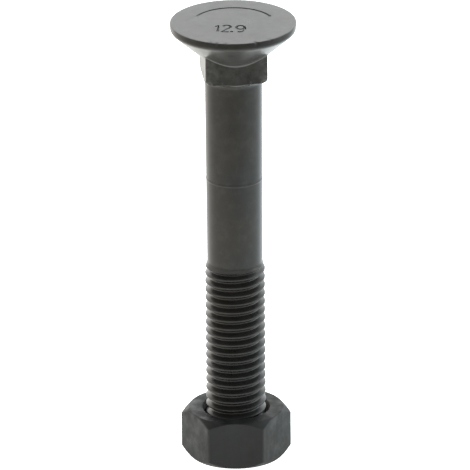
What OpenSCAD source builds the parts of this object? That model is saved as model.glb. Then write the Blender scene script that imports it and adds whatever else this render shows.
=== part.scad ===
// Plow bolt standing on its hex nut. The bolt is forged in one piece: a flat countersunk head, a square
// neck that keeps it from turning, a plain shank and a rolled right-hand thread.
// Millimetres, +Z up along the bolt. The origin is the middle of the nut's lower face.

/* [Bolt] */
// Length of the bolt from the top of the head to the point
bolt_length = 90; // [80:1:160]
// How far the point stays inside the nut's lower face
point_recess = 1.7; // [0:0.1:4]

/* [Head] */
// Diameter of the head
head_d = 25; // [22:0.1:30]
// Height of the rim round the head, down to where its line meets the cone's
rim_h = 1.4; // [0.8:0.1:2]
// Bevel on the upper edge of the rim
rim_bevel = 0.15; // [0.05:0.05:0.4]
// Radius of the round between the rim and the cone
rim_round = 1; // [0.2:0.1:1.2]
// Included angle of the cone under the rim
cone_angle = 97; // [84:1:104]
// Radius of the arc that the die insert left on top of the head
arc_r = 7.9; // [5:0.1:10]
// Width of that arc's groove
arc_w = 0.36; // [0.2:0.02:0.6]
// Depth of that arc's groove
arc_depth = 0.16; // [0.1:0.02:0.4]
// Angle at which the arc starts
arc_start = 18; // [0:1:90]
// Angle that the arc covers
arc_sweep = 140; // [60:1:200]

/* [Square neck] */
// Width across the flats of the neck
neck_w = 12.4; // [11.6:0.1:14]
// How much the die rounds off each corner of the neck
neck_corner_cut = 0.12; // [0.05:0.01:0.6]
// Depth of the neck's shoulder below the top of the head
neck_depth = 10.9; // [8:0.1:16]
// Bevel at the foot of each corner
neck_bevel = 0.7; // [0.3:0.1:1.2]
// Fillet between the shoulder and the shank
neck_fillet_r = 1.5; // [0.4:0.1:2]

/* [Shank] */
// Diameter of the shank under the neck
shank_top_d = 11.4; // [10.6:0.05:11.6]
// Diameter of the shank from the witness ring down to the thread
shank_d = 11.05; // [10.4:0.05:11.4]
// Height of the step at the witness ring, where the forging die ended
ring_step = 0.05; // [0.02:0.01:0.1]
// Depth of the witness ring below the top of the head
ring_depth = 32.8; // [20:0.1:40]

/* [Thread] */
// Diameter over the crests
thread_d = 11.97; // [11.6:0.01:12]
// Distance from one crest to the next
pitch = 1.75; // [1.25:0.25:2]
// Length of the thread from the point to the plain shank
thread_length = 39.5; // [30:0.1:60]
// Length of the run-out, where the groove rises to the shank
runout = 2.3; // [1:0.1:5]
// Length of the lead at the point, where the crests rise to full height
lead = 1.9; // [1:0.1:4]
// How far the flat point stays inside the bottom of the groove
point_inset = 0.25; // [0.1:0.05:0.8]
// Angle at which the thread starts
thread_turn = 272; // [0:1:359]

/* [Nut] */
// Width across the flats of the nut
nut_af = 19; // [17:0.1:22]
// Height of the nut
nut_h = 9.7; // [8:0.1:12]
// How far each end face stays inside the flats
nut_face_inset = 0.1; // [0.1:0.1:1]
// Slope of the chamfer on the nut's corners
nut_chamfer_angle = 41; // [15:1:45]
// Bevel at each mouth of the bore
nut_mouth = 0.55; // [0.3:0.05:1]
// Clearance between the crests of the thread and the bore
thread_clearance = 0.1; // [0.05:0.01:0.3]
// Angle at which the nut stands on the thread
nut_turn = -6.4; // [-30:0.1:30]

/* [Hidden] */

// Smoothness of round shapes
$fn = 96;
// Straight pieces in one turn of the thread
thread_sides = 36;
// Straight pieces in a quarter round
fillet_steps = 6;
// Straight pieces in the round between the rim and the cone
rim_steps = 4;
// Slope of a thread flank from square to the axis
flank_angle = 30;
// Share of the pitch that is flat crest
crest_flat = 1 / 8;
// Depth of a rolled thread as a share of its pitch
depth_share = 0.6134;
// Height of the flat point under the first row of the thread
point_land = 0.5;
// How far joined solids reach into each other
sink = 0.4;
// How far the threaded end stays under the skin of the shank
skin_gap = 0.06;

// Heights from the nut's lower face
point_z = point_recess;
head_z = point_z + bolt_length;
cone_z = head_z - rim_h;
shoulder_z = head_z - neck_depth;
ring_z = head_z - ring_depth;
thread_end_z = point_z + thread_length;

// Radii of the bolt
head_r = head_d / 2;
cone_slope = tan(cone_angle / 2);
// Height of the rim's round above the point where the rim's line meets the cone's
rim_round_h = rim_round * tan(cone_angle / 4);
shank_r = shank_d / 2;
shank_top_r = shank_top_d / 2;
neck_corner_r = neck_w / sqrt(2) - neck_corner_cut;
fillet_r = min(neck_fillet_r, neck_corner_r - neck_bevel - shank_top_r);

// One pitch of the thread: the four corners of its section, each a share of the pitch and a radius
thread_r = thread_d / 2;
thread_depth = depth_share * pitch;
root_r = thread_r - thread_depth;
flank = thread_depth * tan(flank_angle) / pitch;
thread_section = [[0, thread_r], [crest_flat, thread_r], [crest_flat + flank, root_r], [1 - flank, root_r]];
corners = len(thread_section);

point_r = root_r - point_inset;
plain_r = shank_r - skin_gap;

// Length at which the run-out has died away, half a pitch short of the shank
groove_length = thread_length - pitch / 2;
// Whole turns that take the threaded end on into the shank
turns = ceil((thread_length - point_land) / pitch);
last_row = corners * turns;
thread_top_z = point_z + point_land + pitch * (turns + 1) + sink;

// Bore of the nut, from the thread that it runs on
bore_r = thread_r + thread_clearance;
nut_face_r = nut_af / 2 - nut_face_inset;
nut_corner_r = nut_af / sqrt(3);
nut_chamfer_h = (nut_corner_r - nut_face_r) * tan(nut_chamfer_angle);

steel = [0.24, 0.25, 0.26];

// Share between 0 and 1 of a ramp that starts at 0
function ramp(length, over) = max(0, min(1, length / over));

// A corner of the thread's section, row by row up the helix and side by side round it
function thread_point(row, side) =
    let (corner = thread_section[row % corners])
    let (turn = floor(row / corners) + corner[0] + side / thread_sides)
    let (height = point_land + pitch * turn)
    let (full_r = root_r + (corner[1] - root_r) * ramp(height, lead))
    let (r = plain_r + (full_r - plain_r) * ramp(groove_length - height, runout))
    let (angle = 360 * side / thread_sides)
    [r * cos(angle), r * sin(angle), point_z + height];

// A level ring of points, one for each side of the thread
function level_ring(r, z) =
    [for (side = [0 : thread_sides - 1]) let (a = 360 * side / thread_sides) [r * cos(a), r * sin(a), z]];

// Places of the points in the list: the ring at the point, the helix rows, the ring inside the shank
function low(side) = side;
function helix(row, side) = side < thread_sides
    ? thread_sides * (1 + row) + side
    : thread_sides * (1 + row + corners) + side - thread_sides;
function high(side) = thread_sides * (last_row + 2) + side;

// The threaded end as one closed skin. Its rows follow the helix, so each turn ends one pitch higher than
// it started, and two fans of triangles close the steps that this leaves at the point and at the shank.
module threaded_end() {
    last_side = thread_sides - 1;
    points = concat(
        level_ring(point_r, point_z),
        [for (row = [0 : last_row]) for (side = [0 : last_side]) thread_point(row, side)],
        level_ring(plain_r, thread_top_z)
    );
    skin = [
        for (row = [0 : last_row - 1]) for (side = [0 : last_side])
            if (side < last_side || row < last_row - corners)
                [helix(row, side), helix(row + 1, side), helix(row + 1, side + 1), helix(row, side + 1)]
    ];
    low_strip = [for (s = [0 : last_side - 1]) [low(s), helix(0, s), helix(0, s + 1), low(s + 1)]];
    high_strip = [
        for (s = [0 : last_side - 1]) [helix(last_row, s), high(s), high(s + 1), helix(last_row, s + 1)]
    ];
    low_seam = concat([low(0)], [for (row = [0 : corners]) helix(row, 0)]);
    high_seam = concat([for (row = [last_row - corners : last_row]) helix(row, last_side)], [high(last_side)]);
    low_fan = concat(
        [[low(last_side), helix(0, last_side), low(0)]],
        [for (i = [0 : corners]) [helix(0, last_side), low_seam[i + 1], low_seam[i]]]
    );
    high_fan = concat(
        [[high(last_side), high(0), helix(last_row, 0)]],
        [for (i = [0 : corners]) [high_seam[i], high_seam[i + 1], helix(last_row, 0)]]
    );
    caps = [[for (s = [0 : last_side]) low(s)], [for (s = [last_side : -1 : 0]) high(s)]];
    rotate([0, 0, thread_turn])
        polyhedron(points, concat(caps, low_strip, low_fan, skin, high_strip, high_fan), convexity = 10);
}

// Head, cone and shank, turned from one half section
module head_and_shank() {
    round_x = head_r - rim_round;
    round_z = cone_z + rim_round_h;
    rim = [
        for (step = [0 : rim_steps]) let (a = cone_angle / 2 * (step / rim_steps - 1))
            [round_x + rim_round * cos(a), round_z + rim_round * sin(a)]
    ];
    rotate_extrude()
        polygon(concat(
            [
                [0, thread_end_z],
                [shank_r, thread_end_z],
                [shank_r, ring_z],
                [shank_r + ring_step, ring_z],
                [shank_top_r, shoulder_z - fillet_r],
                [shank_top_r, cone_z - (head_r - shank_top_r) / cone_slope]
            ],
            rim,
            [
                [head_r, head_z - rim_bevel],
                [head_r - rim_bevel, head_z],
                [0, head_z]
            ]
        ));
}

// Groove that the round insert of the heading die left on the head
module die_arc() {
    rotate([0, 0, arc_start])
        rotate_extrude(angle = arc_sweep)
            polygon([
                [arc_r - arc_w / 2, head_z + arc_depth],
                [arc_r - arc_w / 4, head_z - arc_depth],
                [arc_r + arc_w / 4, head_z - arc_depth],
                [arc_r + arc_w / 2, head_z + arc_depth]
            ]);
}

// Square neck: a square bar held to a turned outline, which rounds its corners, bevels their feet and
// flares out of the shank
module square_neck() {
    fillet_z = shoulder_z - fillet_r;
    fillet_x = shank_top_r + fillet_r;
    flare = [
        for (step = [0 : fillet_steps]) let (a = 90 * step / fillet_steps)
            [fillet_x - fillet_r * cos(a), fillet_z + fillet_r * sin(a)]
    ];
    intersection() {
        translate([-neck_w / 2, -neck_w / 2, fillet_z - sink])
            cube([neck_w, neck_w, cone_z - fillet_z + sink]);
        rotate_extrude()
            polygon(concat(
                [[0, fillet_z - sink], [shank_top_r - sink, fillet_z - sink]],
                flare,
                [
                    [neck_corner_r - neck_bevel, shoulder_z],
                    [neck_corner_r, shoulder_z + neck_bevel],
                    [neck_corner_r, cone_z],
                    [0, cone_z]
                ]
            ));
    }
}

// The bolt, forged and rolled in one piece
module plow_bolt() {
    color(steel) {
        difference() {
            union() {
                head_and_shank();
                square_neck();
            }
            die_arc();
        }
        threaded_end();
    }
}

// The nut: a hexagon held to a turned outline that chamfers its corners at both ends, bored through
module hex_nut() {
    color(steel)
        rotate([0, 0, nut_turn])
            difference() {
                intersection() {
                    cylinder(r = nut_corner_r, h = nut_h, $fn = 6);
                    rotate_extrude()
                        polygon([
                            [0, 0],
                            [nut_face_r, 0],
                            [nut_corner_r + sink, nut_chamfer_h + sink * tan(nut_chamfer_angle)],
                            [nut_corner_r + sink, nut_h - nut_chamfer_h - sink * tan(nut_chamfer_angle)],
                            [nut_face_r, nut_h],
                            [0, nut_h]
                        ]);
                }
                rotate_extrude()
                    polygon([
                        [0, -sink],
                        [bore_r + nut_mouth + sink, -sink],
                        [bore_r, nut_mouth],
                        [bore_r, nut_h - nut_mouth],
                        [bore_r + nut_mouth + sink, nut_h + sink],
                        [0, nut_h + sink]
                    ]);
            }
}

plow_bolt();
hex_nut();
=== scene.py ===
"""A black plow bolt standing on its hex nut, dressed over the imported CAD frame."""
import math

import bmesh
import bpy
from mathutils import Matrix, Quaternion, Vector, noise


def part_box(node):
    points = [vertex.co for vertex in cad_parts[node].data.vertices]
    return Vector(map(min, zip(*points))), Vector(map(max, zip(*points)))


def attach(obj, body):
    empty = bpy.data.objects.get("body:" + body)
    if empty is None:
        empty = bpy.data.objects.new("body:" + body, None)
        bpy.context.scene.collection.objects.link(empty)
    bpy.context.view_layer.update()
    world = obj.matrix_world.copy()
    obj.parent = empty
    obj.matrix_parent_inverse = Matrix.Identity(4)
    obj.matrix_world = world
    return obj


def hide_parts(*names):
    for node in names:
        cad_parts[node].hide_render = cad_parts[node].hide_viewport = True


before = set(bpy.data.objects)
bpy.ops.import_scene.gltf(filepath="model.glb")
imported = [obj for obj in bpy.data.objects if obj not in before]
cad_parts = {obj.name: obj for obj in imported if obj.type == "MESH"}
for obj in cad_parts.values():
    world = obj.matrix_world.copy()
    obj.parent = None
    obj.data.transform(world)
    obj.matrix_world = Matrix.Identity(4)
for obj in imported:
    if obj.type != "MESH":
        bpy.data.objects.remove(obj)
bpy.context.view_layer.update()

# Plow bolt
# One piece of alloy steel, cold forged: a flat countersunk head, a square neck under it and a plain shank.
# The thread is rolled into the lower end. The whole bolt is hardened, blackened and oiled.

MM = 0.001
skin = 0.001
bolt_low, bolt_high = (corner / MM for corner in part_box("plow_bolt"))
head_top = bolt_high.z - skin
head_r = bolt_high.x
face_share = 0.9
face_r = head_r * face_share
rim_h = 1.4
rim_z = head_top - rim_h
rim_edge = 0.12
rim_round = 0.45
rim_row = 0.5
cone_half_angle = math.radians(48.5)
neck_w = 12.4
neck_corner_cut = 0.12
neck_corner_r = neck_w / math.sqrt(2) - neck_corner_cut
neck_depth = 10.9
neck_foot_z = head_top - neck_depth
neck_foot_bevel = 0.7
neck_row = 0.14
flare_r = 1.5
flare_steps = 20
shank_top_r = 5.7
shank_r = 5.525
shank_row = 1.5
ring_depth = 32.8
ring_z = head_top - ring_depth
ring_up = 0.05
ring_half_w = 0.22
ring_flat_share = 0.4
blank_length = 40.4
blank_end_z = bolt_low.z + blank_length
blank_steps = 320


def ramp(value, length):
    """A rise from 0 to 1 over a length, level before and after it."""
    share = min(max(value / length, 0), 1)
    return share * share * (3 - 2 * share)


def cone_radius(height):
    """The countersunk cone under the head, carried on down to the axis."""
    return head_r - (rim_z - height) * math.tan(cone_half_angle)


def shank_radius(height):
    """The shank's draft, with the low ring where the two halves of the die met."""
    share = (height - blank_end_z) / (neck_foot_z - flare_r - blank_end_z)
    beside = abs(height - ring_z) - ring_half_w * ring_flat_share
    ring = 1 - ramp(beside, ring_half_w * (1 - ring_flat_share))
    return shank_r + (shank_top_r - shank_r) * share + ring_up * ring


def chain(bm, outline, closed=False):
    """Edges in the XZ plane through (radius, height) points. Returns its vertices."""
    verts = [bm.verts.new((radius, 0, height)) for radius, height in outline]
    for first, second in zip(verts, verts[1:]):
        bm.edges.new((first, second))
    if closed:
        bm.edges.new((verts[-1], verts[0]))
    return verts


def round_corners(bm, corners, offset):
    """Rounds corners of a chain before it is turned."""
    bmesh.ops.bevel(bm, geom=corners, offset=offset, segments=4, profile=0.5, affect="VERTICES", material=-1)


def turn(bm, steps):
    """Turns all that is in the mesh once round the Z axis, as on a lathe."""
    bmesh.ops.spin(bm, geom=bm.verts[:] + bm.edges[:], cent=(0, 0, 0), axis=(0, 0, 1), angle=math.tau,
                   steps=steps, use_merge=True)


# Blank: head, cone, neck and shank in one turned outline
blank = bmesh.new()
blank_outline = [(face_r, head_top), (head_r - rim_row, head_top), (head_r, head_top), (head_r, rim_z)]
neck_rows = int((rim_z - neck_foot_z - neck_foot_bevel) / neck_row)
for row in range(math.ceil(rim_row / neck_row), neck_rows):
    height = rim_z - row * neck_row
    blank_outline.append((max(neck_corner_r, cone_radius(height)), height))
blank_outline.append((neck_corner_r, neck_foot_z + neck_foot_bevel))
blank_outline.append((neck_corner_r - neck_foot_bevel, neck_foot_z))
for step in range(flare_steps, -1, -1):
    swing = math.pi / 2 * step / flare_steps
    flare_z = neck_foot_z - flare_r * (1 - math.sin(swing))
    blank_outline.append((shank_top_r + flare_r * (1 - math.cos(swing)), flare_z))
shank_rows = int((neck_foot_z - flare_r - blank_end_z) / shank_row)
shank_heights = [blank_end_z + shank_row * row for row in range(shank_rows)]
ring_rows = (-2, -1, -ring_flat_share, ring_flat_share, 1, 2)
shank_heights += [ring_z + ring_half_w * row for row in ring_rows]
for height in sorted(shank_heights, reverse=True):
    blank_outline.append((shank_radius(height), height))
upper_edge, lower_edge = chain(blank, blank_outline)[2:4]
round_corners(blank, [upper_edge], rim_edge)
round_corners(blank, [lower_edge], rim_round)
turn(blank, blank_steps)

# Neck: the flats are pressed into the turned outline, a little under the cone, which ends on them in a lip
neck_soft = 0.35
throat_soft = 0.35
throat_lip = -0.19
plain_rub = 0.075
ring_rub_and_highlight = 0.12
cone_sheen = 0.36
neck_rub_and_sheen = 0.115
corner_sheen = 0.2
corner_sheen_from = 0.2
edge_rub_and_highlight = 0.8
throat_rub_and_highlight_w = 0.22
foot_rub_and_highlight_w = 0.16
foot_fade_from = 0.6
foot_fade = 0.3
mottle_rub = 0.8
patch_size = 1.1
speck_size = 0.36
speck_share = 0.6


def soft_min(first, second, soft):
    """The smaller of two lengths, rounded over where they differ by less than soft."""
    near = max(soft - abs(first - second), 0)
    return min(first, second) - near * near / (4 * soft)


def soft_max(first, second, soft):
    """The larger of two lengths, with the inner corner filled where they differ by less than soft."""
    return -soft_min(-first, -second, soft)


def flat_radius(angle, sides, across, first):
    """How far a prism's flats are from its axis in one direction. The first flat faces the angle first."""
    share = math.tau / sides
    beside = (angle - first + share / 2) % share - share / 2
    return across / 2 / math.cos(beside)


def set_radius(vert, radius):
    """Moves a vertex straight to or from the Z axis."""
    scale = radius / math.hypot(vert.co.x, vert.co.y)
    vert.co.x *= scale
    vert.co.y *= scale


def wear_and_highlight_line(distance, half_width):
    """How bright an edge is painted, as wear or as painted highlight: 1 on the edge, 0 from half_width on."""
    return 1 - ramp(abs(distance), half_width)


# The attribute lightens the colour. The rim's rubbed edge and the nicks are wear. The lighter cone is painted
# reflection. The lighter neck and the bright lines at the lip, foot and ring are partly wear and partly
# painted sheen and highlights.
wear_and_sheen = blank.verts.layers.float.new("wear_and_sheen")
for vert in blank.verts:
    radius = math.hypot(vert.co.x, vert.co.y)
    vert[wear_and_sheen] = plain_rub
    if neck_foot_z - flare_r < vert.co.z < rim_z - rim_round:
        flat = flat_radius(math.atan2(vert.co.y, vert.co.x), 4, neck_w, 0)
        pressed = soft_min(min(radius, neck_corner_r), flat, neck_soft)
        corner_share = (2 * flat / neck_w - 1) / (math.sqrt(2) - 1)
        patch = noise.noise(vert.co / patch_size) + speck_share * noise.noise(vert.co / speck_size)
        # Painted sheen, partly wear: the neck is painted lighter than the shank and lighter still toward its
        # corners, mottled in patches.
        rub_and_sheen = neck_rub_and_sheen + corner_sheen * ramp(corner_share - corner_sheen_from, 1 - corner_sheen_from)
        vert[wear_and_sheen] = rub_and_sheen * (1 + mottle_rub * patch)
        if vert.co.z > neck_foot_z + neck_foot_bevel:
            cone = cone_radius(vert.co.z)
            # Painted reflection: the cone under the head is painted lighter than the flats.
            on_cone_sheen = cone_sheen * ramp(cone - pressed, throat_soft)
            # Painted highlight, partly wear: a bright line where the cone ends on the flats.
            lip_rub_and_highlight = edge_rub_and_highlight * wear_and_highlight_line(cone - pressed - throat_lip, throat_rub_and_highlight_w)
            vert[wear_and_sheen] = max(vert[wear_and_sheen], on_cone_sheen, lip_rub_and_highlight)
            pressed = soft_max(pressed, cone, throat_soft)
        else:
            # Painted highlight, partly wear: a bright line along the foot of the flats, fading toward the
            # corners.
            foot_rub_and_highlight = wear_and_highlight_line(radius - flat, foot_rub_and_highlight_w) * (1 - ramp(corner_share - foot_fade_from, foot_fade))
            vert[wear_and_sheen] = max(plain_rub, edge_rub_and_highlight * foot_rub_and_highlight)
        set_radius(vert, pressed)
    elif abs(vert.co.z - ring_z) < ring_half_w:
        # Painted highlight, partly wear: the die ring is painted lighter.
        vert[wear_and_sheen] = ring_rub_and_highlight

# Rim: the forging is a little uneven, its edge is rubbed, and its front has a few nicks
rim_reach = 0.4
rim_rub = 0.22
rim_rub_w = 1.5 * rim_edge
rim_wave = 0.012
rim_waves = ((3, 1, 1.0), (8, 0, 0.7), (17, 2, 0.5))
rim_waves_sum = sum(size for count, shift, size in rim_waves)
nicks = ((-75, 0.5, 0.12), (-103, 0.7, 0.06), (-111, 0.6, 0.09), (-117, 0.8, 0.06), (-60, 0.7, 0.05))
nick_h = 0.6
nick_inward = 0.6
nick_rub = 0.5
nick_deep = 0.2

for vert in blank.verts:
    radius = math.hypot(vert.co.x, vert.co.y)
    if vert.co.z > rim_z - rim_round and radius > head_r - rim_reach:
        angle = math.atan2(vert.co.y, vert.co.x)
        wave = sum(size * math.sin(count * angle + shift) for count, shift, size in rim_waves)
        set_radius(vert, radius - rim_wave * (1 + wave / rim_waves_sum))
        vert[wear_and_sheen] = rim_rub * wear_and_highlight_line(vert.co.z - head_top, rim_rub_w)
        # Painted reflection: the rounded lower edge of the rim is painted lighter, like the cone.
        vert[wear_and_sheen] += cone_sheen * ramp(rim_z + rim_round - vert.co.z, 2 * rim_round)
        for degrees, half_width, depth in nicks:
            along = abs(math.remainder(angle - math.radians(degrees), math.tau)) * head_r
            hit = wear_and_highlight_line(along, half_width) * wear_and_highlight_line(vert.co.z - head_top, nick_h)
            vert.co.z -= depth * hit
            set_radius(vert, math.hypot(vert.co.x, vert.co.y) - depth * nick_inward * hit)
            vert[wear_and_sheen] = max(vert[wear_and_sheen], nick_rub * hit * ramp(depth, nick_deep))

# Thread: one pitch of its outline is carried up the bolt on a helix
pitch = 1.75
thread_r = 5.985
thread_turn = math.radians(272)
thread_steps = 96
thread_length = 40.2
point_z = bolt_low.z
point_land = 0.5
point_r = 4.55
point_soft = 0.15
point_reach = 0.01
thread_end_z = point_z + thread_length
crest_start = 1 / 16
crest_flat = 0.06
crest_round = 0.12
crest_soft = 0.08
root_round = 0.25
flank_slope = math.sqrt(3)
flank_h = pitch / 2 - crest_flat - (crest_round + root_round) * math.sin(math.pi / 3)
flank_points = 4
round_points = 4
thread_depth = (crest_round + root_round) / 2 + flank_h * flank_slope
runout_groove = 2.9
runout_crest = 2.0
runout_land = 0.5
crest_end_z = thread_end_z - runout_land
merge_gap = 0.001
slice_gap = 0.0001


def thread_outline(crest_r):
    """One pitch of the rolled outline as (radius, height) points, from the middle of a crest to the next."""
    root_r = crest_r - thread_depth
    swings = [math.pi / 3 * step / round_points for step in range(round_points + 1)]
    half = [(crest_r, 0)]
    for swing in swings:
        rounded_z = crest_flat + crest_round * math.sin(swing)
        half.append((crest_r - crest_round * (1 - math.cos(swing)), rounded_z))
    flank_r, flank_z = half[-1]
    for step in range(1, flank_points):
        down = flank_h * step / flank_points
        half.append((flank_r - down * flank_slope, flank_z + down))
    for swing in reversed(swings[1:]):
        half.append((root_r + root_round * (1 - math.cos(swing)), pitch / 2 - root_round * math.sin(swing)))
    return half + [(root_r, pitch / 2)] + [(radius, pitch - height) for radius, height in reversed(half)]


def helix(bm, crest_r, low_z, high_z):
    """An open threaded sleeve from one height to another, on the bolt's own thread."""
    crest_z = point_z + point_land + pitch * (crest_start - thread_turn / math.tau)
    first_z = crest_z + pitch * (math.floor((low_z - crest_z) / pitch) - 1)
    turns = math.ceil((high_z - first_z) / pitch)
    chain(bm, [(radius, first_z + height) for radius, height in thread_outline(crest_r)])
    bmesh.ops.spin(bm, geom=bm.verts[:] + bm.edges[:], cent=(0, 0, 0), axis=(0, 0, 1),
                   dvec=(0, 0, pitch / thread_steps), angle=math.tau, steps=thread_steps)
    one_turn = bm.verts[:] + bm.edges[:] + bm.faces[:]
    for step in range(1, turns):
        copied = bmesh.ops.duplicate(bm, geom=one_turn)["geom"]
        lifted = [item for item in copied if isinstance(item, bmesh.types.BMVert)]
        bmesh.ops.translate(bm, vec=(0, 0, pitch * step), verts=lifted)
    bmesh.ops.remove_doubles(bm, verts=bm.verts, dist=merge_gap)
    for cut_z, side in ((low_z, -1), (high_z, 1)):
        bmesh.ops.bisect_plane(bm, geom=bm.verts[:] + bm.edges[:] + bm.faces[:], dist=slice_gap,
                               plane_co=(0, 0, cut_z), plane_no=(0, 0, side), clear_outer=True)


thread = bmesh.new()
helix(thread, thread_r, point_z, thread_end_z)
thread_wear = thread.verts.layers.float.new("wear_and_sheen")
for vert in thread.verts:
    vert[thread_wear] = plain_rub
    lift = thread_depth * (1 - ramp(thread_end_z - vert.co.z, runout_groove))
    limit = shank_r + (thread_r - shank_r) * ramp(crest_end_z - vert.co.z, runout_crest)
    radius = soft_min(math.hypot(vert.co.x, vert.co.y) + lift, limit, crest_soft)
    set_radius(vert, soft_min(radius, point_r + (vert.co.z - point_z), point_soft))
point_edge = [edge for edge in thread.edges
              if edge.is_boundary and edge.verts[0].co.z < point_z + point_reach]
bmesh.ops.edgeloop_fill(thread, edges=point_edge)

# Marks in the head: the strength class, and the arc that the heading die left round it
sharp_angle = math.radians(40)
view_turn = math.radians(-5.96)
stroke_r = 0.27
stroke_depth = 0.26
stroke_z = head_top + stroke_r - stroke_depth
dot_at = (-0.3, -5.4)
dot_r = stroke_r * 1.25
arc_r = 7.9
arc_groove_r = 0.26
arc_depth = 0.24
arc_start = math.radians(18)
arc_sweep = math.radians(140)
arc_steps = 90
arc_fade = 0.35
arc_pit_r = 0.42
arc_pit_lift = 0.21
slug_h = 1.0
slug_kept_h = 0.45


def finish_mesh(bm, name):
    """Closes a mesh that was built in millimetres and makes it a piece in metres."""
    bmesh.ops.remove_doubles(bm, verts=bm.verts, dist=merge_gap)
    bmesh.ops.recalc_face_normals(bm, faces=bm.faces)
    bmesh.ops.scale(bm, vec=(MM, MM, MM), verts=bm.verts)
    mesh = bpy.data.meshes.new(name)
    bm.to_mesh(mesh)
    bm.free()
    mesh.shade_smooth()
    mesh.set_sharp_from_angle(angle=sharp_angle)
    piece = bpy.data.objects.new(name, mesh)
    bpy.context.scene.collection.objects.link(piece)
    return piece


def join(bm, other):
    """Adds another mesh to a mesh."""
    passing = bpy.data.meshes.new("passing")
    other.to_mesh(passing)
    other.free()
    bm.from_mesh(passing)
    bpy.data.meshes.remove(passing)


def cut(piece, tool, overlaps=False):
    """Cuts a tool out of a piece for good, and removes the tool. Its own parts may overlap."""
    knife = piece.modifiers.new("cut", "BOOLEAN")
    knife.object = tool
    knife.operation = "DIFFERENCE"
    knife.solver = "EXACT"
    knife.use_self = overlaps
    before = piece.data
    piece.data = bpy.data.meshes.new_from_object(piece.evaluated_get(bpy.context.evaluated_depsgraph_get()))
    piece.modifiers.clear()
    bpy.data.meshes.remove(before)
    bpy.data.objects.remove(tool)
    piece.data.set_sharp_from_angle(angle=sharp_angle)


def arc_points(centre, radii, start, sweep, count):
    """Points on an ellipse, by its centre, its two radii and an angle range in degrees."""
    angles = [math.radians(start + sweep * step / count) for step in range(count + 1)]
    return [(centre[0] + radii[0] * math.cos(a), centre[1] + radii[1] * math.sin(a)) for a in angles]


def stroke(path):
    """A round-nosed punch stroke along a path on the head, as a mesh in metres."""
    curve = bpy.data.curves.new("stroke", "CURVE")
    curve.dimensions = "3D"
    curve.bevel_depth = stroke_r * MM
    curve.bevel_resolution = 3
    curve.use_fill_caps = True
    spline = curve.splines.new("POLY")
    spline.points.add(len(path) - 1)
    for point, (x, y) in zip(spline.points, path):
        point.co = (x * MM, y * MM, stroke_z * MM, 1)
    holder = bpy.data.objects.new("stroke", curve)
    mesh = bpy.data.meshes.new_from_object(holder)
    bpy.data.objects.remove(holder)
    return mesh


one = [(-3.55, -2.5), (-2.85, -1.95), (-3.05, -5.2)]
two = arc_points((-1.25, -2.7), (0.78, 0.9), 165, -190, 10) + [(-2.3, -5.4), (-0.85, -5.5)]
nine_bowl = arc_points((1.45, -3.05), (0.85, 1.0), 0, 360, 16)
nine_tail = [(2.3, -3.05)] + arc_points((1.3, -3.9), (1.0, 1.65), 10, -125, 8)
punch = bmesh.new()
for path in (one, two, nine_bowl, nine_tail):
    mark = stroke(path)
    punch.from_mesh(mark)
    bpy.data.meshes.remove(mark)
bmesh.ops.rotate(punch, verts=punch.verts, cent=(0, 0, 0), matrix=Matrix.Rotation(view_turn, 3, "Z"))
bmesh.ops.scale(punch, vec=(1 / MM, 1 / MM, 1 / MM), verts=punch.verts)
dot_place = Matrix.Rotation(view_turn, 4, "Z") @ Matrix.Translation((*dot_at, stroke_z))
bmesh.ops.create_uvsphere(punch, u_segments=16, v_segments=8, radius=dot_r, matrix=dot_place)
punch_piece = finish_mesh(punch, "punch")

die = bmesh.new()
ring_place = Matrix.Translation((arc_r, 0, head_top + arc_groove_r - arc_depth))
upright = Matrix.Rotation(math.pi / 2, 4, "X")
circle = bmesh.ops.create_circle(die, cap_ends=False, segments=12, radius=arc_groove_r,
                                 matrix=ring_place @ upright)
bmesh.ops.rotate(die, verts=circle["verts"], cent=(0, 0, 0), matrix=Matrix.Rotation(arc_start, 3, "Z"))
bmesh.ops.spin(die, geom=die.verts[:] + die.edges[:], cent=(0, 0, 0), axis=(0, 0, 1), angle=arc_sweep,
               steps=arc_steps)
bmesh.ops.holes_fill(die, edges=die.edges)
for vert in die.verts:
    left = arc_start + arc_sweep - math.atan2(vert.co.y, vert.co.x)
    vert.co.z += arc_depth * (1 - ramp(left, arc_fade))
pit_place = Matrix.Rotation(arc_start, 4, "Z") @ Matrix.Translation((arc_r, 0, head_top + arc_pit_lift))
bmesh.ops.create_uvsphere(die, u_segments=16, v_segments=8, radius=arc_pit_r, matrix=pit_place)
die_piece = finish_mesh(die, "die")

slug = bmesh.new()
chain(slug, [(face_r, head_top - slug_h), (face_r, head_top)])
turn(slug, blank_steps)
bmesh.ops.holes_fill(slug, edges=slug.edges)
head_face = finish_mesh(slug, "head_face")
cut(head_face, punch_piece, overlaps=True)
cut(head_face, die_piece, overlaps=True)
marked = bmesh.new()
marked.from_mesh(head_face.data)
bpy.data.objects.remove(head_face)
bmesh.ops.scale(marked, vec=(1 / MM, 1 / MM, 1 / MM), verts=marked.verts)
under = [face for face in marked.faces if face.calc_center_median().z < head_top - slug_kept_h]
bmesh.ops.delete(marked, geom=under, context="FACES")

join(blank, marked)
bmesh.ops.remove_doubles(blank, verts=blank.verts, dist=merge_gap)
join(blank, thread)
open_edges = [edge for edge in blank.edges if edge.is_boundary]
bmesh.ops.bridge_loops(blank, edges=open_edges)
bolt = finish_mesh(blank, "plow_bolt_forging")


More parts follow.
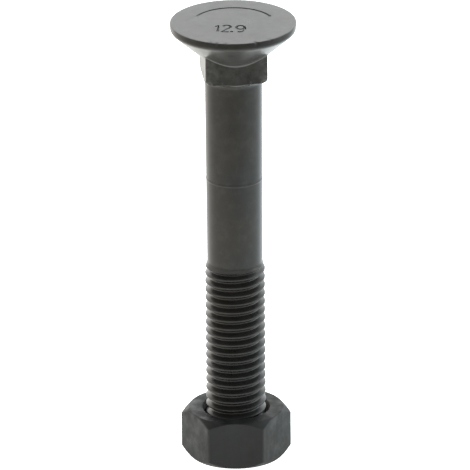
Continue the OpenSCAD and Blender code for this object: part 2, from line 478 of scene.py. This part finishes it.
# Finish: black oxide with oil, the same process for the bolt and the nut
class Shade:
    """A socket of a material. Sums and products of it add Math nodes, and node() adds any other node."""

    def __init__(self, tree, socket=None):
        self.tree = tree
        self.socket = socket

    def node(self, kind, settings=None, values=None, out=0):
        """A node by its type, its settings, then the values or links of its sockets. Returns one output."""
        made = self.tree.nodes.new("ShaderNode" + kind)
        for name, value in (settings or {}).items():
            setattr(made, name, value)
        for name, value in (values or {}).items():
            if isinstance(value, Shade):
                self.tree.links.new(value.socket, made.inputs[name])
            else:
                made.inputs[name].default_value = value
        return Shade(self.tree, made.outputs[out] if made.outputs else None)

    def maths(self, operation, first, second):
        """A Math node on two values."""
        return self.node("Math", {"operation": operation}, {0: first, 1: second})

    def __add__(self, other):
        return self.maths("ADD", self, other)

    def __radd__(self, other):
        return self.maths("ADD", other, self)

    def __sub__(self, other):
        return self.maths("SUBTRACT", self, other)

    def __rsub__(self, other):
        return self.maths("SUBTRACT", other, self)

    def __mul__(self, other):
        return self.maths("MULTIPLY", self, other)

    def __rmul__(self, other):
        return self.maths("MULTIPLY", other, self)

    def band(self, low, high):
        """A smooth mask: 0 at low, 1 at high."""
        return self.node("MapRange", {"interpolation_type": "SMOOTHSTEP"},
                         {"Value": self, "From Min": low, "From Max": high})

    def blend(self, first, second):
        """A colour mixed from first to second by this mask. Each is a colour or a socket."""
        ends = [end if isinstance(end, Shade) else (*end, 1) for end in (first, second)]
        return self.node("Mix", {"data_type": "RGBA"}, {0: self, 6: ends[0], 7: ends[1]}, out=2)


noise_middle = 0.5
bloom_band = (0.36, 0.66)
scale_band = (0.42, 0.72)
rub_least = 0.75
rub_spread = 0.5
cloud_rough = 0.12
blotch_rough = 0.16
streak_rough = 0.1
grain_relief = 0.35
blotch_relief = 0.45
streak_relief = 0.2


def black_oxide(name, dark, bloom, worn_and_sheen, rough, mottle, patchy):
    """Blackened and oiled steel: a brown bloom over black, blotches of scale, edges rubbed lighter, and
    painted sheen and highlights where the mesh's own attribute lightens it.
    """
    material = bpy.data.materials.new(name)
    material.use_nodes = True
    tree = material.node_tree
    tree.nodes.clear()
    shade = Shade(tree)
    place = shade.node("TexCoord", out=3)
    cloud = shade.node("TexNoise", None, {"Vector": place, "Scale": 70, "Detail": 4, "Roughness": 0.6})
    blotch = shade.node("TexNoise", None, {"Vector": place, "Scale": 420, "Detail": 5, "Roughness": 0.62})
    grain = shade.node("TexNoise", None, {"Vector": place, "Scale": 2400, "Detail": 3, "Roughness": 0.6})
    drawn = shade.node("Mapping", None, {"Vector": place, "Scale": (1, 1, 0.05)})
    streak = shade.node("TexNoise", None, {"Vector": drawn, "Scale": 700, "Detail": 3, "Roughness": 0.6})
    # Painted sheen and highlights, partly wear: the mesh's attribute mixes in the lighter colour.
    rub_and_sheen = shade.node("Attribute", {"attribute_name": "wear_and_sheen"}, out=2) * (rub_least + blotch * rub_spread)
    base = cloud.band(*bloom_band).blend(dark, bloom)
    scaled = (blotch.band(*scale_band) * mottle).blend(base, worn_and_sheen)
    colour = rub_and_sheen.blend(scaled, worn_and_sheen)
    patches = (cloud - noise_middle) * cloud_rough + (blotch - noise_middle) * blotch_rough
    roughness = rough + patches * patchy + (streak - noise_middle) * streak_rough
    height = grain * grain_relief + blotch * blotch_relief + streak * streak_relief
    bump = shade.node("Bump", None, {"Strength": 0.2, "Distance": 0.00004, "Height": height})
    steel = shade.node("BsdfPrincipled", None, {"Base Color": colour, "Metallic": 0.6, "Roughness": roughness,
                                                "IOR": 1.4, "Normal": bump})
    shade.node("OutputMaterial", None, {"Surface": steel})
    return material


bolt_oxide = black_oxide("bolt_black_oxide", dark=(0.0105, 0.011, 0.0105), bloom=(0.0145, 0.013, 0.0105),
                         worn_and_sheen=(0.12, 0.118, 0.112), rough=0.31, mottle=0.05, patchy=0.9)
bolt.data.materials.append(bolt_oxide)
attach(bolt, "bolt")
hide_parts("plow_bolt")

# Hex nut
# A steel nut forged from bar, chamfered at both ends, countersunk and tapped, and blackened like the bolt.
# It holds by its thread alone, screwed on until the point of the bolt is just inside its lower face.

nut_h = (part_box("hex_nut")[1] / MM).z
nut_af = 19
nut_corner_r = nut_af / 2 / math.cos(math.pi / 6)
nut_face_inset = 0.1
nut_face_r = nut_af / 2 - nut_face_inset
nut_chamfer = math.tan(math.radians(41))
nut_turn = -6.4
nut_first_flat = math.radians(30 + nut_turn)
nut_bore_r = 5.1
nut_mouth_r = 6.8
nut_mouth_slope = math.tan(math.radians(60))
nut_edge = 0.12
nut_soft = 0.12
nut_edge_rub = 0.25
nut_edge_rub_w = 0.14
nut_steps = 360
nut_row = 0.1
tap_clearance = 0.16
tap_over = 2

nut_blank = bmesh.new()
chamfer_w = nut_corner_r - nut_face_r
chamfer_h = chamfer_w * nut_chamfer
chamfer_rows = math.ceil(chamfer_h / nut_row)
shares = [row / chamfer_rows for row in range(chamfer_rows + 1)]
nut_end = [(nut_face_r + chamfer_w * share, chamfer_h * share) for share in shares]
nut_outline = nut_end + [(nut_corner_r, nut_h / 2)]
nut_outline += [(radius, nut_h - height) for radius, height in reversed(nut_end)]
mouth_h = (nut_mouth_r - nut_bore_r) * nut_mouth_slope
nut_outline += [(nut_mouth_r, nut_h), (nut_bore_r, nut_h - mouth_h), (nut_bore_r, mouth_h), (nut_mouth_r, 0)]
corners = chain(nut_blank, nut_outline, closed=True)
face_edges = [corners[0], corners[2 * len(nut_end)]]
mouth_edges = [corners[-1], corners[-4]]
round_corners(nut_blank, face_edges + mouth_edges, nut_edge)
turn(nut_blank, nut_steps)
nut_wear = nut_blank.verts.layers.float.new("wear_and_sheen")
for vert in nut_blank.verts:
    radius = math.hypot(vert.co.x, vert.co.y)
    vert[nut_wear] = plain_rub
    if radius > nut_face_r - nut_edge:
        flat = flat_radius(math.atan2(vert.co.y, vert.co.x), 6, nut_af, nut_first_flat)
        vert[nut_wear] = max(plain_rub, nut_edge_rub * wear_and_highlight_line(radius - flat, nut_edge_rub_w))
        set_radius(vert, soft_min(radius, flat, nut_soft))
nut = finish_mesh(nut_blank, "hex_nut_forging")

tap = bmesh.new()
helix(tap, thread_r + tap_clearance, -tap_over, nut_h + tap_over)
bmesh.ops.holes_fill(tap, edges=tap.edges)
cut(nut, finish_mesh(tap, "tap"))

nut_oxide = black_oxide("nut_black_oxide", dark=(0.0065, 0.0075, 0.0074), bloom=(0.008, 0.0082, 0.0074),
                        worn_and_sheen=(0.085, 0.085, 0.083), rough=0.59, mottle=0.08, patchy=4.5)
nut.data.materials.append(nut_oxide)
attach(nut, "nut")
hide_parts("hex_nut")

# Studio
# A white sweep under soft light from all round, a little warm from the left and cool from the right. The
# sweep also glows and carries painted light and shade: warm to cool across, greyer at the sides, behind on
# the left and toward the front.
# The camera stands well back with a long lens, as for a catalogue picture.

floor_half = 3.0
floor_painted_glow = 1.2
warm_floor_light = (0.94, 0.905, 0.85)
cool_floor_light = (0.86, 0.955, 1)
back_left_floor_shade = (0.8, 0.775, 0.735)
side_floor_shade = (0.55, 0.55, 0.53)
front_floor_shade = (0.25, 0.25, 0.24)
floor_tint_light_span = (-0.12, 0.16)
side_shade_span = (0.012, 0.05)
back_shade_span = (0.03, 0.12)
left_shade_span = (0.03, -0.05)
front_shade_span = (-0.24, -0.09)
tent_glow = 2.95
tent_warm = (1, 0.97, 0.93)
tent_cool = (0.93, 0.98, 1)
tent_side = (0.55, 0.55, 0.55)
tent_top = (0.09, 0.09, 0.09)
tent_tint_span = (-0.6, 0.6)
tent_back_span = (0.35, 0.75)
tent_top_span = (0.52, 0.72)
box_size = 1.8
middle = Vector((0, 0, 0.045))

floor_mesh = bmesh.new()
bmesh.ops.create_grid(floor_mesh, x_segments=1, y_segments=1, size=floor_half)
plane = bpy.data.meshes.new("floor")
floor_mesh.to_mesh(plane)
floor_mesh.free()
floor = bpy.data.objects.new("floor", plane)
bpy.context.scene.collection.objects.link(floor)
paint = bpy.data.materials.new("floor_white_painted_light")
paint.use_nodes = True
paint.node_tree.nodes.clear()
sweep = Shade(paint.node_tree)
floor_place = sweep.node("TexCoord", out=3)
across = sweep.node("SeparateXYZ", None, {"Vector": floor_place})
along = sweep.node("SeparateXYZ", None, {"Vector": floor_place}, out=1)
# Painted light and shade on the sweep: warm on the left, cool on the right, painted shade toward the sides,
# behind on the left and toward the front.
near = across.band(*floor_tint_light_span).blend(warm_floor_light, cool_floor_light)
wide_floor_shade = (across * across).band(*side_shade_span).blend(near, side_floor_shade)
behind_floor_shade = (along.band(*back_shade_span) * across.band(*left_shade_span)).blend(wide_floor_shade, back_left_floor_shade)
floor_painted_light = along.band(*front_shade_span).blend(front_floor_shade, behind_floor_shade)
# Painted glow: the sweep glows in its painted colours, though it is no lamp.
matt = sweep.node("BsdfPrincipled", None, {"Base Color": floor_painted_light, "Roughness": 0.8, "Emission Color": floor_painted_light,
                                           "Emission Strength": floor_painted_glow})
sweep.node("OutputMaterial", None, {"Surface": matt})
floor.data.materials.append(paint)

world = bpy.data.worlds.new("studio")
world.use_nodes = True
world.node_tree.nodes.clear()
tent = Shade(world.node_tree)
direction = tent.node("TexCoord")
sideways = tent.node("SeparateXYZ", None, {"Vector": direction})
backward = tent.node("SeparateXYZ", None, {"Vector": direction}, out=1)
upward = tent.node("SeparateXYZ", None, {"Vector": direction}, out=2)
back = sideways.band(*tent_tint_span).blend(tent_warm, tent_cool)
walls = backward.band(*tent_back_span).blend(tent_side, back)
cloth = upward.band(*tent_top_span).blend(walls, tent_top)
glow = tent.node("Background", None, {"Color": cloth, "Strength": tent_glow})
tent.node("OutputWorld", None, {"Surface": glow})
bpy.context.scene.world = world


def soft_box(name, place, watts, colour):
    """A square soft box that faces the bolt."""
    lamp = bpy.data.lights.new(name, "AREA")
    lamp.size = box_size
    lamp.energy = watts
    lamp.color = colour
    holder = bpy.data.objects.new(name, lamp)
    holder.location = place
    holder.rotation_euler = (middle - Vector(place)).to_track_quat("-Z", "Y").to_euler()
    bpy.context.scene.collection.objects.link(holder)


soft_box("left_box", place=(-1.6, 0.2, 0.8), watts=9, colour=(1.0, 0.92, 0.83))
soft_box("right_box", place=(1.6, 0.1, 0.8), watts=34, colour=(0.82, 0.94, 1.0))

picture_px = 470
focal_px = 10855
camera_distance = 2.155
camera_lift = math.radians(21.85)
camera_roll = math.radians(-0.45)
aim = Vector((0.00005, 0, 0.04647))
lens = bpy.data.cameras.new("camera")
lens.sensor_width = 36
lens.lens = focal_px * lens.sensor_width / picture_px
camera = bpy.data.objects.new("camera", lens)
away = Vector((math.sin(view_turn), -math.cos(view_turn), 0)) * math.cos(camera_lift)
away.z = math.sin(camera_lift)
camera.location = aim + away * camera_distance
camera.rotation_euler = (away.to_track_quat("Z", "Y") @ Quaternion((0, 0, 1), camera_roll)).to_euler()
bpy.context.scene.collection.objects.link(camera)
bpy.context.scene.camera = camera
bpy.context.scene.view_settings.view_transform = "Standard"
